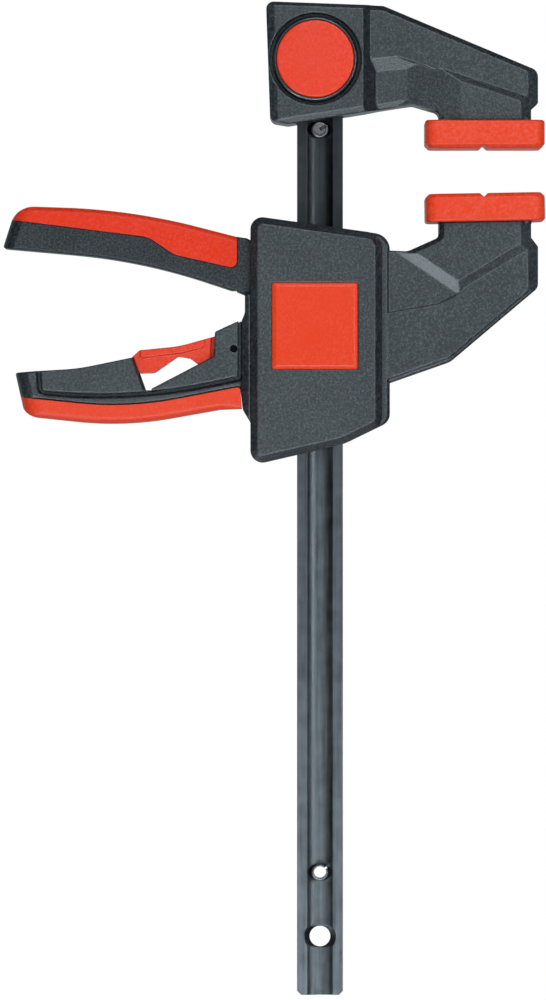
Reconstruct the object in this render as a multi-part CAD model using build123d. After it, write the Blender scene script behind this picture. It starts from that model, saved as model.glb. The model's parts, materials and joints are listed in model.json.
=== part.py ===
"""Quick release bar clamp, one-handed.

A flat steel bar carries a fixed jaw at its top end and a sliding carriage.
Squeezing the drive lever towards the fixed handle pushes two steel plates down
the bar, so the carriage climbs; a brake plate stops it from sliding back until
the trigger in the handle is pressed.  A button in the fixed jaw draws a latch
out of the bar, so that the jaw can be taken off.

All sizes are in millimetres.  X runs across the clamp, towards the jaws.
Y is depth, with the front at -Y.  Z runs up the bar.  The origin is the centre
of the hanging hole near the bar's lower end.
"""

import os
from math import atan2, cos, degrees, hypot, pi, radians, sin, tan

from build123d import *

# ---------------------------------------------------------------- clearances
slide_gap = 0.15  # bar in the guides of the carriage and of the fixed jaw
running_gap = 0.05  # radial, pins in the holes that turn on them
seat_gap = 0.05  # parts that are pushed or dropped into a pocket
side_gap = 0.2  # each side, between a lever and the bosses that centre it
moving_gap = 0.4  # beside and below parts that swing inside a housing
coil_steps = 8  # sections in each turn of a small spring
wide_coil_steps = 12  # the same, for the spring that goes round the bar
spring_gap = 0.15  # between a spring's end and a tilted plate
pin_play = 0.1  # between the drive pin and the plates under it
pin_chamfer = 0.4
through = 40.0  # reach of the cuts that pass right through a piece

# ----------------------------------------------------------------------- bar
bar_width = 15.0
bar_thick = 6.0
bar_length = 323.8
bar_corner = 1.3
groove_width = 8.4
groove_depth = 1.5
hang_hole_d = 6.8
hang_sink_d = 10.4
hole_to_end = 19.2
stop_pin_d = 5.5
stop_pin_bore_d = 4.0
stop_pin_length = 9.2
stop_pin_slit = 0.9
stop_pin_cup = 1.0  # depth of the cups in the top stop pin's ends
stop_sink_d = 8.6
low_pin_z = 21.0
high_pin_drop = 21.0  # top stop pin below the latch hole

bar_low_z = -hole_to_end
bar_high_z = bar_low_z + bar_length
latch_hole_z = bar_high_z - hole_to_end
high_pin_z = latch_hole_z - high_pin_drop

# ---------------------------------------------------------------------- pads
pad_left_x = 34.3
pad_width = 39.1
pad_depth = 30.0
pad_height = 9.2
pad_round = 4.0
pad_bevel = 1.3
pad_lip = 0.5
pad_notch_x = 53.5
pad_notch_depth = 1.3
foot_into_pad = 6.0
foot_inset = 1.0  # foot narrower than the arm's neck, each side
foot_round = 2.0
neck_into_pad = 4.0  # spare length of an arm's outline, cut off at the pad
toe_in = 1.0  # degrees by which the moving pad leans towards the bar
fixed_pad_drop = 46.6  # working face of the fixed pad, below the bar's top end
moving_pad_z = 243.3  # working face of the moving pad, at its middle
jaw_opening = 14.7  # between the pads, as the clamp is drawn

# ------------------------------------------------- jaw arms, half thicknesses
fixed_web = 8.6
moving_web = 10.2
arm_flange = 10.8
arm_neck = 12.5
arm_bevel = 1.6
web_bevel = 0.6
arm_left_x = 38.9
arm_neck_x = 69.0
arm_right_x = 71.3
arm_nose_x = 65.5
arm_nose_y = 8.3

# ----------------------------------------------------------- fixed jaw head
head_half = 13.5
head_bevel = 0.6
head_left_x = -17.7
head_lean = 1.4  # the left side leans in by this much towards its foot
head_heel = (5.9, 1.0)  # width and height of the cut corner at its foot
head_right_x = 14.0
head_slope_run = 4.3
head_end_x = 19.0
head_over_bar = 1.4
head_shoulder_x = 20.7
head_shoulder_drop = 1.4
head_side = (2.0, 1.0)  # width and fall of the facet along each edge
head_crown = (0.6, 0.8)
head_chin = (1.5, 0.8)
web_chin = (1.4, 0.7)
underside_slope = 9.0  # degrees, along the bottom of the head and of the arm
underside_drop = 37.1  # below the bar's top end, at X = 0
jaw_nose_high = 22.6  # drops from the head's top to corners of the arm
jaw_nose_low = 33.1
jaw_neck_drop = 35.2
jaw_crook_drop = 36.2
jaw_crook_x = 30.2
button_x = -1.6
button_rise = 1.7  # above the latch hole
button_d = 25.3
button_front_y = -15.9
button_dome = 0.6
button_rim = 0.9
button_back_y = -7.8
button_flange = 1.2
moat_d = 30.2
moat_y = -9.4
bore_d = 27.6
bore_floor_y = -4.3
collar_front_y = -14.4
collar_back_y = -9.1
collar_bevel = 0.5
button_spring_pocket_d = 12.0
button_spring_pocket_y = -13.2
button_spring_d = 10.8
button_spring_wire = 0.9
button_spring_turns = 5
latch_pin_d = 6.6
latch_tip_y = -0.5
yoke_leg = 1.8
yoke_height = 6.4
yoke_back_y = 7.4
yoke_bridge = 2.0
latch_lid = 1.5
latch_lid_margin = 1.8

fixed_pad_z = bar_high_z - fixed_pad_drop
carriage_lift = fixed_pad_z - jaw_opening - moving_pad_z  # not 0 on another bar
head_top_z = bar_high_z + head_over_bar
underside_z = bar_high_z - underside_drop
button_z = latch_hole_z + button_rise

# ------------------------------------------------------------ carriage body
body_half = 15.0
body_left_x = -22.8
body_right_x = 22.8
body_bevel = 2.3
body_round = 4.0
body_rim = 1.0
body_top_z = 236.0  # at the left edge
body_top_slope = 8.0  # degrees
body_foot_slope = 13.0
body_heel_slope = 26.0
body_turn = (7.8, 161.3)  # where the foot's slope changes
cover_right_x = 20.2
cover_depth = 4.0  # from the front face to the seam
cover_wall = 2.6
body_wall = 2.8
back_wall = 3.5
cavity_right_x = 19.0
guide_wall = 3.0
top_guide_z = 226.6
brake_slot_low = 181.9
brake_slot_high = 188.2
lever_slot_low = 202.4
lever_slot_high = 230.0
pivot_boss_d = 8.0
badge_left_x = -15.8
badge_right_x = 12.3
badge_low_z = 185.6
badge_high_z = 214.0
badge_thick = 1.4
badge_recess = 0.8
badge_edge = 1.3
badge_round = 0.8

cover_seam_y = cover_depth - body_half
cavity_back_y = body_half - back_wall

# ------------------------------------------------- drive lever and its plates
lever_pivot_x = 13.8
lever_pivot_z = 221.1
lever_pin_d = 5.0
lever_pin_half = 13.2
lever_half = 9.5
lever_neck_x = -24.7
lever_eye = 4.4
fork_left_x = -17.6
cheek_thick = 2.3
drive_pin_x = -12.0
drive_pin_z = 214.2
drive_pin_d = 3.6
plate_stack_gap = 0.05
plate_thick = 2.4
plate_count = 2
plate_half = 6.9
plate_left_x = -14.2
plate_right_x = 13.0
plate_play_x = 0.5  # total, between the bar and the plates' windows
plate_play_y = 0.4
plate_round = 1.5
shelf_top_z = 195.4
shelf_thick = 3.0
drive_spring_wire = 1.5
drive_spring_turns = 3.5
drive_spring_play = 0.5  # total, between the spring and the bar's corners

# ----------------------------------------------------- brake and its trigger
fulcrum_x = 14.8
brake_top_z = 185.5  # when level, with the trigger pressed
brake_thick = 2.5
brake_tilt = 2.07  # degrees at rest, its left end up
brake_left_x = -17.0
brake_right_x = 17.6
brake_play_x = 0.7
brake_half = 8.0
brake_arm_half = 5.0
brake_arm_x = -38.0
brake_spring_x = -13.6
brake_spring_room = 8.4  # under the brake plate when it is level
brake_spring_d = 6.4
brake_spring_wire = 0.9
brake_spring_turns = 5
trigger_pivot_x = -28.2
trigger_pivot_z = 192.5
trigger_pin_d = 2.4
trigger_pin_sunk = 2.0
trigger_half = 8.4
trigger_web_half = 7.7
trigger_hub_half = 6.5

brake_spring_z = brake_top_z - brake_thick - brake_spring_room

# ------------------------------------------------------------- fixed handle
handle_half = 10.5
handle_bevel = 0.6
handle_top = (-60.0, 189.9)
window_foot = (-56.1, 178.9)
window_bevel = (2.0, 3.5)  # width and depth of the window's bevelled left wall
insert_bevel = 0.3
insert_left_x = -92.6
insert_right_x = -25.6
channel_right_x = -23.9
strip_x = -24.6
seam = 1.2
seam_depth = 2.4
grip_half = 10.9
grip_core_half = 8.4
grip_skin = 1.8
grip_round = 2.5
handle_tip_round = 6.5
shoulder_x = -23.4  # left end of the handle's shoulder on the body
shoulder_run = 2.6
lever_bevel = 0.6
lever_grip_half = 9.9
lever_core_half = 7.3
lever_tip_round = 6.0

# -------------------------------------------------------------- cover screws
screw_d = 3.0
screw_head_d = 5.6
screw_head = 2.0
screw_head_sink = 1.0
screw_head_room = 0.6
screw_boss_d = 6.4
screw_bite = 3.0
screw_tip_gap = 0.4
cross_length = 3.2
cross_width = 0.8
cross_depth = 1.0
screw_places = [(-17.9, 230.6), (16.6, 208.0), (-18.2, 160.6), (16.9, 171.8)]


# ------------------------------------------------------------------- helpers
def outline(corners):
    """Flat face from corners given as (x, z, corner radius)."""
    points = [(x, z) for x, z, r in corners]
    radii = [r for x, z, r in corners]
    return make_face(FilletPolyline(*points, radius=radii, close=True))


def slab(face, front_y, back_y):
    """Solid of a front-view face between two depths."""
    return extrude(Plane.XZ.offset(-back_y) * face, amount=back_y - front_y)


def front_slab(face, half, bevel, back_y=0.0):
    """Slab from back_y forward to -half, with its front edges bevelled."""
    solid = slab(face, bevel - half, back_y)
    return solid + extrude(Plane.XZ.offset(half - bevel) * face, amount=bevel, taper=45)


def chamfered_slab(face, half, size):
    """Slab from Y = 0 forward to -half, with its front edges chamfered."""
    solid = slab(face, -half, 0)
    return chamfer(solid.faces().sort_by(Axis.Y)[0].edges(), size)


def rounded_slab(face, half, radius):
    """Slab from Y = 0 forward to -half, with its front edges rounded."""
    solid = slab(face, -half, 0)
    return fillet(solid.faces().sort_by(Axis.Y)[0].edges(), radius)


def tip_column(low, high, half, radius):
    """Column along a handle's slanted tip, which rounds it as seen from above.

    The tip runs from low to high, each given as (x, z).
    """
    lean, height = high[0] - low[0], high[1] - low[1]
    start = low[0] - lean
    corners = [(start, -half), (0, -half), (0, half), (start, half)]
    section = make_face(FilletPolyline(*corners, radius=[radius, 0, 0, radius], close=True))
    base = Pos(0, 0, low[1] - height) * section
    return extrude(base, amount=3 * hypot(lean, height), dir=(lean, 0, height))


def both_sides(solid):
    """A front half joined to its mirror image."""
    return solid + mirror(solid, about=Plane.XZ)


def block(low, high):
    """Box between two corners, each given as (x, y, z)."""
    size = [b - a for a, b in zip(low, high)]
    centre = [(a + b) / 2 for a, b in zip(low, high)]
    return Pos(*centre) * Box(*size)


def rod(x, z, diameter, front_y, back_y):
    """Round bar along Y."""
    middle = Pos(x, (front_y + back_y) / 2, z)
    return middle * Rot(90, 0, 0) * Cylinder(diameter / 2, back_y - front_y)


def keep_left(solid, start, end, top, run, drop):
    """Trims a solid's front with a plane that slopes down to the right of a line.

    Seen from the front, the line from start to end lies at depth -top.  To its
    right, the plane has dropped by `drop` after `run`; what is outside goes.
    """
    dx, dz = end[0] - start[0], end[1] - start[1]
    length = hypot(dx, dz)
    along = Vector(dx / length, 0, dz / length)
    away = Vector(dz / length, 0, -dx / length)
    normal = (away * run + Vector(0, drop, 0)).cross(along).normalized()
    if normal.dot(away) < 0:
        normal = normal * -1
    plane = Plane(origin=(start[0], -top, start[1]), z_dir=normal)
    return split(solid, bisect_by=plane, keep=Keep.BOTTOM)


def coil(diameter, wire, length, turns, steps=coil_steps):
    """Compression spring along Z, standing on Z = 0, with a six-sided wire."""
    rise = length - wire
    radius = (diameter - wire) / 2
    slope = rise / (turns * 2 * pi)
    count = round(turns * steps)
    sections = []
    for n in range(count + 1):
        angle = 2 * pi * turns * n / count
        outward = Vector(cos(angle), sin(angle), 0)
        along = Vector(-sin(angle) * radius, cos(angle) * radius, slope)
        centre = outward * radius + Vector(0, 0, wire / 2 + rise * n / count)
        plane = Plane(origin=centre, x_dir=outward, z_dir=along)
        sections.append(plane * RegularPolygon(wire / 2, 6))
    return loft(sections, ruled=True)


def turned(solid, x, z, angle):
    """Turns a solid about a line along Y; anticlockwise as seen from the front."""
    return Pos(x, 0, z) * Rot(0, -angle, 0) * Pos(-x, 0, -z) * solid


# ----------------------------------------------------------------------- bar
def bar_slot(low_z, high_z):
    """Room for the bar in a guide."""
    half_x = bar_width / 2 + slide_gap
    half_y = bar_thick / 2 + slide_gap
    return block((-half_x, -half_y, low_z), (half_x, half_y, high_z))


def make_bar():
    half = bar_width / 2
    middle_z = (bar_low_z + bar_high_z) / 2
    profile = Pos(0, middle_z) * Rectangle(bar_width, bar_length)
    profile = chamfer(profile.vertices(), bar_corner)
    bar = slab(profile, -bar_thick / 2, bar_thick / 2)
    groove_r = ((groove_width / 2) ** 2 + groove_depth**2) / (2 * groove_depth)
    groove_y = bar_thick / 2 - groove_depth + groove_r
    for side in (-1, 1):
        bar -= Pos(0, side * groove_y, middle_z) * Cylinder(groove_r, bar_length)
    for z, hole, sink in (
        (0, hang_hole_d, hang_sink_d),
        (latch_hole_z, hang_hole_d, hang_sink_d),
        (low_pin_z, stop_pin_d, stop_sink_d),
        (high_pin_z, stop_pin_d, stop_sink_d),
    ):
        bar -= rod(0, z, hole, -half, half)
        depth = (sink - hole) / 2
        cone = Cone(hole / 2, sink / 2, depth)
        bar -= Pos(0, (bar_thick - depth) / 2, z) * Rot(-90, 0, 0) * cone
        bar -= Pos(0, -(bar_thick - depth) / 2, z) * Rot(90, 0, 0) * cone
    return bar


def make_stop_pin(z, cup):
    """Rolled pin, proud of both faces of the bar, bored to a depth from each end."""
    half = stop_pin_length / 2
    pin = rod(0, z, stop_pin_d, -half, half)
    pin = chamfer(pin.edges().filter_by(GeomType.CIRCLE), pin_chamfer)
    pin -= rod(0, z, stop_pin_bore_d, -half, cup - half)
    pin -= rod(0, z, stop_pin_bore_d, half - cup, half)
    slit = block((0, -half, -stop_pin_slit / 2), (stop_pin_d, half, stop_pin_slit / 2))
    return pin - Pos(0, 0, z) * Rot(0, -35, 0) * slit


# ---------------------------------------------------------------------- pads
pad_middle_x = pad_left_x + pad_width / 2
foot_middle_x = (arm_left_x + arm_neck_x) / 2
foot_depth = 2 * (arm_neck - foot_inset)


def foot_section(grow):
    """Section of an arm's foot, seen along Z."""
    size_x = arm_neck_x - arm_left_x + 2 * grow
    return RectangleRounded(size_x, foot_depth + 2 * grow, foot_round + grow)


def make_pad():
    """Cap with its working face on Z = 0, pointing down, and its mouth on top."""
    section = RectangleRounded(pad_width, pad_depth, pad_round)
    cap = Pos(pad_middle_x, 0, 0) * extrude(section, pad_height)
    cap = chamfer(cap.faces().sort_by(Axis.Z)[0].edges(), pad_bevel)
    cap = chamfer(cap.faces().sort_by(Axis.Z)[-1].edges(), pad_lip)
    depth = pad_notch_depth
    notch = outline(
        [
            (pad_notch_x - 2 * depth, -depth, 0),
            (pad_notch_x, depth, 0),
            (pad_notch_x + 2 * depth, -depth, 0),
        ]
    )
    cap -= slab(notch, -pad_depth, pad_depth)
    mouth = Pos(foot_middle_x, 0, pad_height - foot_into_pad) * foot_section(seat_gap)
    return cap - extrude(mouth, foot_into_pad)


def make_foot():
    """Foot that fills a pad's mouth, and trims the arm level with the pad."""
    low = Pos(foot_middle_x, 0, pad_height - foot_into_pad)
    return low * extrude(foot_section(0), foot_into_pad + 1.0)


def below_mouth():
    """Everything under the level of a pad's mouth, near the pad."""
    low = (arm_left_x - 8, -pad_depth, pad_height - 20)
    return block(low, (arm_right_x + 8, pad_depth, pad_height))


def on_fixed_jaw(solid):
    """Moves a solid from the pad's own frame to the fixed jaw."""
    return Pos(0, 0, fixed_pad_z) * solid


def on_moving_jaw(solid):
    """Moves a solid from the pad's own frame to the moving jaw, toed in."""
    flipped = Pos(0, 0, moving_pad_z) * Rot(180, 0, 0) * solid
    return turned(flipped, pad_middle_x, moving_pad_z, toe_in)


def nose_column(low_z, high_z):
    """Column that narrows both arms towards their outer ends, seen from above."""
    corners = [
        (-40, -20),
        (arm_nose_x, -20),
        (arm_nose_x, -arm_neck),
        (arm_right_x, -arm_nose_y),
        (arm_right_x, arm_nose_y),
        (arm_nose_x, arm_neck),
        (arm_nose_x, 20),
        (-40, 20),
    ]
    section = make_face(Polyline(*corners, close=True))
    return Pos(0, 0, low_z) * extrude(section, high_z - low_z)


# ----------------------------------------------------------------- fixed jaw
def underside(x):
    """Height of the fixed jaw's lower edge at x."""
    return underside_z + x * tan(radians(underside_slope))


def crown(x):
    """Height of the head's upper edge at x."""
    fall = head_shoulder_drop / (head_shoulder_x - head_left_x)
    return head_top_z - (x - head_left_x) * fall


def head_heel_corners():
    """Cut corner at the left end of the underside."""
    width, height = head_heel
    left_x = head_left_x + head_lean
    low_z = underside(left_x + width)
    return [(left_x + width, low_z, 2.0), (left_x, low_z + height, 2.5)]


def fixed_jaw_face():
    top = head_top_z
    foot_z = fixed_pad_z + pad_height - neck_into_pad
    return outline(
        [
            (head_left_x, top, 2.5),
            (head_shoulder_x, crown(head_shoulder_x), 3.0),
            (arm_right_x, top - jaw_nose_high, 3.0),
            (arm_right_x, top - jaw_nose_low, 0),
            (arm_neck_x, top - jaw_neck_drop, 0),
            (arm_neck_x, foot_z, 0),
            (arm_left_x, foot_z, 0),
            (arm_left_x, top - jaw_crook_drop, 2.2),
            (jaw_crook_x, underside(jaw_crook_x), 4.0),
            *head_heel_corners(),
        ]
    )


def head_face():
    return outline(
        [
            (head_left_x, head_top_z, 2.5),
            (head_end_x, crown(head_end_x), 0),
            (head_end_x, underside(head_end_x), 0),
            *head_heel_corners(),
        ]
    )


def faceted_head():
    """Front half of the head, thicker than the arm, with a facet along each edge."""
    head = front_slab(head_face(), head_half, head_bevel)
    wall = [(head_right_x, underside_z), (head_right_x, head_top_z)]
    head = keep_left(head, *wall, head_half, head_slope_run, head_half - fixed_web)
    run, fall = head_side
    side = [(head_left_x + head_bevel + run, head_top_z)]
    side += [(side[0][0] + head_lean, underside_z)]
    head = keep_left(head, *side, head_half, run, fall)
    run, fall = head_crown
    edge = [(x, crown(x) - head_bevel - run) for x in (head_end_x, head_left_x)]
    head = keep_left(head, *edge, head_half, run, fall)
    run, fall = head_chin
    edge = [(x, underside(x) + head_bevel + run) for x in (head_left_x, head_end_x)]
    return keep_left(head, *edge, head_half, run, fall)


def yoke_outer_x():
    return bar_width / 2 + slide_gap + moving_gap + yoke_leg


def latch_way(x_low, x_high, y_low, y_high):
    """Room for a part of the latch yoke, which slides along Y."""
    half_z = latch_pin_d / 2 + slide_gap
    low = (x_low, y_low, latch_hole_z - half_z)
    return block(low, (x_high, y_high, latch_hole_z + half_z))


def latch_lid_block(gap):
    """Lid over the latch, let into the back of the head."""
    half_x = yoke_outer_x() + latch_lid_margin - gap
    half_z = yoke_height / 2 + latch_lid_margin - gap
    low = (-half_x, head_half - latch_lid, latch_hole_z - half_z)
    return block(low, (half_x, head_half, latch_hole_z + half_z))


def jaw_openings():
    """Socket for the bar, bore for the button and room for the latch."""
    inner_x = bar_width / 2
    outer_x = yoke_outer_x() + moving_gap
    lid_y = head_half - latch_lid
    cut = bar_slot(fixed_pad_z, bar_high_z + slide_gap)
    cut += rod(button_x, button_z, moat_d, -through, moat_y)
    cut += rod(button_x, button_z, bore_d, -through, bore_floor_y)
    cut += latch_way(-outer_x, -inner_x, bore_floor_y, lid_y)
    cut += latch_way(inner_x, outer_x, bore_floor_y, lid_y)
    cut += latch_way(-outer_x, outer_x, 0, lid_y)
    return cut + latch_lid_block(0)


def make_fixed_jaw():
    side = fixed_jaw_face()
    top = head_top_z
    web = front_slab(side, fixed_web, web_bevel)
    flange = front_slab(side, arm_flange, arm_bevel)
    neck = front_slab(side, arm_neck, arm_bevel)
    run, fall = web_chin
    edge = [(x, underside(x) + web_bevel + run) for x in (head_left_x, jaw_crook_x)]
    web = keep_left(web, *edge, fixed_web, run, fall)
    # The flange runs along the top; near the head it slopes down to the web.
    step = arm_flange - fixed_web
    edge = [(17.2, top - 18.6), (26.6, top - 17.7)]
    flange_head = keep_left(flange, *edge, arm_flange, 4.4, step)
    edge = [(27.6, top - 18.7), (65.6, top - 31.5)]
    flange_arm = keep_left(flange, *edge, arm_flange, 0.4, step)
    # The neck block above the pad stands highest and ramps down to the head.
    edge = [(65.3, top - 32.6), (29.9, top - 21.1)]
    neck = keep_left(neck, *edge, arm_neck, 2.4, arm_neck - arm_flange)
    edge = [(46.0, top), (46.0, top - 40.0)]
    neck = keep_left(neck, *edge, arm_neck, 17.5, arm_neck - fixed_web)
    arm = (web + flange_head + flange_arm + neck) & nose_column(fixed_pad_z, top + through)
    jaw = both_sides(arm + faceted_head()) - on_fixed_jaw(below_mouth())
    return jaw + on_fixed_jaw(make_foot()) - jaw_openings()


# -------------------------------------------------------- latch and its button
def make_button_collar():
    collar = rod(button_x, button_z, bore_d, collar_front_y, collar_back_y)
    collar = chamfer(collar.edges().sort_by(Axis.Y)[0], collar_bevel)
    bore = button_d + 2 * running_gap
    return collar - rod(button_x, button_z, bore, collar_front_y, collar_back_y)


def make_release_button():
    radius = button_d / 2
    sphere_r = (radius**2 + button_dome**2) / (2 * button_dome)
    cap = rod(button_x, button_z, button_d, button_front_y, button_back_y)
    cap = chamfer(cap.edges().sort_by(Axis.Y)[0], button_rim)
    cap &= Pos(button_x, button_front_y + sphere_r, button_z) * Sphere(sphere_r)
    flange_d = bore_d - 2 * moving_gap
    cap += rod(button_x, button_z, flange_d, button_back_y - button_flange, button_back_y)
    pocket_d = button_spring_pocket_d
    return cap - rod(button_x, button_z, pocket_d, button_spring_pocket_y, button_back_y)


def make_latch_yoke():
    """Steel stirrup that reaches round the bar; its pin enters from behind."""
    outer = yoke_outer_x()
    low_z = latch_hole_z - yoke_height / 2
    high_z = latch_hole_z + yoke_height / 2
    yoke = block((-outer, button_back_y, low_z), (yoke_leg - outer, yoke_back_y, high_z))
    yoke += block((outer - yoke_leg, button_back_y, low_z), (outer, yoke_back_y, high_z))
    bridge_y = yoke_back_y - yoke_bridge
    yoke += block((-outer, bridge_y, low_z), (outer, yoke_back_y, high_z))
    return yoke + rod(0, latch_hole_z, latch_pin_d, latch_tip_y, bridge_y)


def make_button_spring():
    length = bore_floor_y - button_spring_pocket_y
    spring = coil(button_spring_d, button_spring_wire, length, button_spring_turns)
    return Pos(button_x, bore_floor_y, button_z) * Rot(90, 0, 0) * spring


# ------------------------------------------------------------- carriage body
def body_face(right_x):
    """Front view of the carriage body, up to the given right edge."""
    turn_x, turn_z = body_turn
    fall = (right_x - body_left_x) * tan(radians(body_top_slope))
    heel_z = turn_z + (right_x - turn_x) * tan(radians(body_heel_slope))
    foot_z = turn_z - (turn_x - body_left_x) * tan(radians(body_foot_slope))
    return outline(
        [
            (body_left_x, body_top_z, body_round),
            (right_x, body_top_z - fall, body_round + 1.5),
            (right_x, heel_z, body_round),
            (turn_x, turn_z, 20.0),
            (body_left_x, foot_z, body_round),
        ]
    )


def screw_boss(x, z):
    return rod(x, z, screw_boss_d, cover_seam_y, cavity_back_y)


def body_cavity():
    """Hollow of the body, less the guides, shelves and bosses left standing."""
    inner = offset(body_face(cavity_right_x + body_wall), amount=-body_wall)
    hollow = slab(inner, cover_seam_y, cavity_back_y)
    guide = bar_width / 2 + guide_wall
    wide = through
    low_shelf_z = brake_spring_z - shelf_thick
    # Guides for the bar at the bottom and at the top.
    hollow -= block((-guide, -wide, 0), (guide, wide, low_shelf_z))
    hollow -= block((-guide, -wide, top_guide_z), (guide, wide, bar_high_z))
    # Shelf under the brake spring, and shelf under the drive spring.
    hollow -= block((-wide, -wide, low_shelf_z), (wide, wide, brake_spring_z))
    hollow -= block((-wide, -wide, shelf_top_z - shelf_thick), (wide, wide, shelf_top_z))
    # Rib that the brake plate leans up against.
    hollow -= block((fulcrum_x, -wide, brake_top_z), (wide, wide, shelf_top_z))
    for x, z in screw_places:
        hollow -= screw_boss(x, z)
    return hollow - pivot_boss(lever_half + side_gap, cavity_back_y)


def pivot_boss(front_y, back_y):
    return rod(lever_pivot_x, lever_pivot_z, pivot_boss_d, front_y, back_y)


def left_wall_slots():
    """Slots through the left wall, for the lever and for the brake plate's arm."""
    lever_y = lever_half + moving_gap
    arm_y = brake_arm_half + moving_gap
    left_x = body_left_x - through
    inner_x = body_left_x + body_wall + seat_gap
    slots = block((left_x, -lever_y, lever_slot_low), (inner_x, lever_y, lever_slot_high))
    return slots + block((left_x, -arm_y, brake_slot_low), (inner_x, arm_y, brake_slot_high))


# ---------------------------------------------------------------- moving arm
def moving_arm_face():
    foot_z = moving_pad_z - pad_height + neck_into_pad
    return outline(
        [
            (18.0, 224.8, 0),
            (28.6, 224.3, 4.0),
            (arm_left_x, 228.9, 2.2),
            (arm_left_x, foot_z, 0),
            (arm_neck_x, foot_z, 0),
            (arm_neck_x, 228.8, 0),
            (arm_right_x, 225.9, 0),
            (arm_right_x, 212.4, 3.0),
            (42.8, 188.3, 6.0),
            (18.0, 179.6, 0),
        ]
    )


def make_moving_arm():
    side = moving_arm_face()
    web = front_slab(side, moving_web, web_bevel)
    flange = front_slab(side, arm_flange, arm_bevel)
    neck = front_slab(side, arm_neck, arm_bevel)
    # The flange follows the outer edge and frames the lower inner web.
    step = arm_flange - moving_web
    low = keep_left(flange, (38.7, 207.0), (23.0, 204.2), arm_flange, 0.3, step)
    middle = keep_left(flange, (47.0, 211.2), (38.7, 207.0), arm_flange, 0.3, step)
    far = keep_left(flange, (47.0, 240.0), (47.0, 200.0), arm_flange, 0.4, step)
    # The neck block under the pad stands highest, between two sloping facets.
    rise = arm_neck - moving_web
    neck = keep_left(neck, (31.4, 224.1), (45.3, 214.7), arm_neck, 3.8, rise)
    rise = arm_neck - arm_flange
    neck = keep_left(neck, (45.3, 214.8), (63.9, 226.0), arm_neck, 3.1, rise)
    return web + low + middle + far + neck


# -------------------------------------------------------------- fixed handle
def handle_frame_face():
    """Spine and end of the handle, around the insert and above the grip."""
    return outline(
        [
            (-99.8, 184.6, 0.8),
            (insert_left_x, 185.2, 0),
            (insert_left_x + 0.3, 177.6, 2.5),
            (-62.0, 174.9, 180.0),
            (insert_right_x, 182.2, 0.6),
            (insert_right_x, 201.7, 0),
            (strip_x, 204.2, 2.5),
            (strip_x, 210.3, 0),
            (-18.0, 210.3, 0),
            (-18.0, 168.0, 0),
            (-22.6, 168.0, 0),
            (-25.3, 172.6, 3.0),
            (-26.2, 180.0, 1.0),
            (-63.0, 173.0, 110.0),
            (-96.8, 176.4, 2.0),
            (-98.7, 178.0, 0),
        ]
    )


def handle_insert_face(gap):
    """Front view of the insert, with a gap between it and the frame."""
    right_x = insert_right_x - gap
    return outline(
        [
            (insert_left_x + gap, 185.2, 0),
            (-79.0, 186.0, 60.0),
            (*handle_top, 0.9),
            (*window_foot, 1.0),
            (-34.8, 190.0, 0.8),
            (-34.4, 198.0, 1.0),
            (right_x, 201.5, 0),
            (right_x, 182.2 + gap, 0.6),
            (-62.0, 174.9 + gap, 180.0),
            (insert_left_x + 0.3 + gap, 177.6 + gap, 2.5 - gap),
        ]
    )


def handle_grip_face():
    return outline(
        [
            (-98.7, 178.0, 0),
            (-96.8, 176.4, 2.0),
            (-63.0, 173.0, 110.0),
            (-26.2, 180.0, 1.0),
            (-25.6, 172.9, 0),
            (-32.6, 172.6, 8.0),
            (-64.0, 167.0, 110.0),
            (-96.6, 170.4, 6.0),
        ]
    )


def insert_channel():
    """Hollow of the insert, for the trigger and the brake plate's arm."""
    finger = outline(
        [
            (-64.6, 195.0, 0),
            (-64.6, 179.6, 1.0),
            (-56.0, 178.4, 0),
            (-41.5, 181.0, 0),
            (-35.0, 182.9, 0),
            (-35.0, 203.0, 0),
            (-64.6, 203.0, 0),
        ]
    )
    hub = outline(
        [
            (-36.0, 182.6, 0),
            (channel_right_x, 182.6, 0),
            (channel_right_x, 196.9, 0),
            (-36.0, 196.9, 0),
        ]
    )
    finger_half = trigger_half + moving_gap
    hub_half = trigger_hub_half + moving_gap
    return slab(finger, -finger_half, finger_half) + slab(hub, -hub_half, hub_half)


def window_wall():
    """Waste in front of the bevelled wall at the left of the insert's window."""
    width, depth = window_bevel
    zone = outline(
        [
            (handle_top[0] - width - 1, handle_top[1] + 1, 0),
            (window_foot[0] - width, window_foot[1], 0),
            (window_foot[0] + 1, window_foot[1], 0),
            (window_foot[0] + 1, handle_top[1] + 1, 0),
        ]
    )
    waste = slab(zone, -handle_half, depth - handle_half)
    edge = [(x - width, z) for x, z in (window_foot, handle_top)]
    return waste - keep_left(waste, *edge, handle_half, width, depth)


def make_handle_insert():
    insert = both_sides(front_slab(handle_insert_face(seam), handle_half, insert_bevel))
    core_half = handle_half - seam_depth
    insert += slab(handle_insert_face(seat_gap), -core_half, core_half)
    insert -= insert_channel()
    insert -= both_sides(window_wall())
    hole_half = handle_half + 1
    return insert - rod(trigger_pivot_x, trigger_pivot_z, trigger_pin_d, -hole_half, hole_half)


def handle_grip_core():
    core = offset(handle_outer_face(), amount=-grip_skin) & handle_grip_face()
    return slab(core, -grip_core_half, grip_core_half)


def handle_outer_face():
    """Whole handle in the front view, whose edge the grip rounds off."""
    return outline(
        [
            (-99.8, 184.6, 0),
            (-18.0, 190.0, 0),
            (-18.0, 171.0, 0),
            (-32.6, 172.6, 8.0),
            (-64.0, 167.0, 110.0),
            (-96.6, 170.4, 6.0),
            (-98.7, 178.0, 0),
        ]
    )


def handle_tip():
    return tip_column((-96.6, 170.4), (-99.8, 184.6), grip_half, handle_tip_round)


def make_handle_grip():
    grip = both_sides(rounded_slab(handle_outer_face(), grip_half, grip_round))
    grip &= slab(handle_grip_face(), -through, through)
    return (grip - handle_grip_core()) & handle_tip()


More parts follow.
